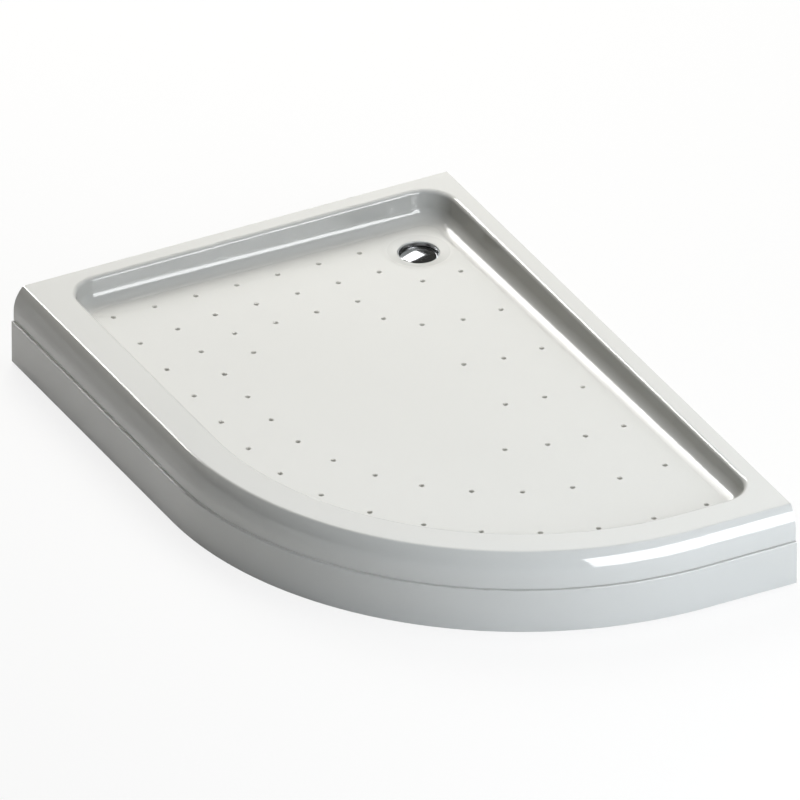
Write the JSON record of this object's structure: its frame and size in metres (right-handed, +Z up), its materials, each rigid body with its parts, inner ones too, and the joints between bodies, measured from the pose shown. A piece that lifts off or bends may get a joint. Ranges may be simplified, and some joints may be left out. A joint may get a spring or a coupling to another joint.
{
  "type": "shower tray",
  "caption": "Offset-quadrant acrylic shower tray with a bowed front, pull-off apron panel, falling floor with anti-slip bumps, trapped chrome waste and levelling feet.",
  "frame": {"origin": "on the floor under the middle of the plan's bounding rectangle, where the levelling feet stand", "axes": "+X along the long wall side, away from the waste; +Y towards the long wall; +Z up; the bow is at +X, -Y"},
  "size_m": [1.2, 0.8, 0.14],
  "materials": {
    "white_acrylic": "gloss",
    "fibreglass": "satin",
    "resin_filler": "matte",
    "board": "matte",
    "zinc_steel": "satin",
    "chrome": "polished",
    "rubber": "matte",
    "trap_plastic": "satin",
    "clip_plastic": "satin",
    "pad_plastic": "satin"
  },
  "bodies": {
    "tray": {"tray_shell": "white_acrylic", "grp_backing": "fibreglass", "support_core": "resin_filler", "base_board": "board", "foot_plates": "zinc_steel", "foot_plate_screws": "zinc_steel", "jam_nuts": "zinc_steel", "apron_brackets": "zinc_steel", "bracket_screws": "zinc_steel", "waste_flange": "chrome", "upper_gasket": "rubber", "lower_gasket": "rubber", "trap_body": "trap_plastic", "outlet_seal": "rubber", "trap_outlet": "trap_plastic", "outlet_union_nut": "trap_plastic"},
    "apron": {"apron_panel": "white_acrylic", "apron_clips": "clip_plastic"},
    "cup": {"trap_cup": "trap_plastic", "cup_o_ring": "rubber"},
    "cover": {"waste_cover": "chrome"},
    "foot_1": {"foot_stud_1": "zinc_steel", "foot_pad_1": "pad_plastic"},
    "foot_2": {"foot_stud_2": "zinc_steel", "foot_pad_2": "pad_plastic"},
    "foot_3": {"foot_stud_3": "zinc_steel", "foot_pad_3": "pad_plastic"},
    "foot_4": {"foot_stud_4": "zinc_steel", "foot_pad_4": "pad_plastic"},
    "foot_5": {"foot_stud_5": "zinc_steel", "foot_pad_5": "pad_plastic"},
    "foot_6": {"foot_stud_6": "zinc_steel", "foot_pad_6": "pad_plastic"},
    "foot_7": {"foot_stud_7": "zinc_steel", "foot_pad_7": "pad_plastic"},
    "foot_8": {"foot_stud_8": "zinc_steel", "foot_pad_8": "pad_plastic"}
  },
  "joints": [
    {"name": "apron_pull", "type": "slide", "parent": "tray", "child": "apron", "axis": [0.7071, -0.7071, 0], "range_m": [0, 0.15]},
    {"name": "cup_lift", "type": "slide", "parent": "tray", "child": "cup", "axis": [0, 0, 1], "range_m": [0, 0.1]},
    {"name": "cover_lift", "type": "slide", "parent": "cup", "child": "cover", "axis": [0, 0, 1], "range_m": [0, 0.05]},
    {"name": "foot_1_level", "type": "slide", "parent": "tray", "child": "foot_1", "axis": [0, 0, -1], "range_m": [-0.01, 0.01]},
    {"name": "foot_2_level", "type": "slide", "parent": "tray", "child": "foot_2", "axis": [0, 0, -1], "range_m": [-0.01, 0.01]},
    {"name": "foot_3_level", "type": "slide", "parent": "tray", "child": "foot_3", "axis": [0, 0, -1], "range_m": [-0.01, 0.01]},
    {"name": "foot_4_level", "type": "slide", "parent": "tray", "child": "foot_4", "axis": [0, 0, -1], "range_m": [-0.01, 0.01]},
    {"name": "foot_5_level", "type": "slide", "parent": "tray", "child": "foot_5", "axis": [0, 0, -1], "range_m": [-0.01, 0.01]},
    {"name": "foot_6_level", "type": "slide", "parent": "tray", "child": "foot_6", "axis": [0, 0, -1], "range_m": [-0.01, 0.01]},
    {"name": "foot_7_level", "type": "slide", "parent": "tray", "child": "foot_7", "axis": [0, 0, -1], "range_m": [-0.01, 0.01]},
    {"name": "foot_8_level", "type": "slide", "parent": "tray", "child": "foot_8", "axis": [0, 0, -1], "range_m": [-0.01, 0.01]}
  ]
}
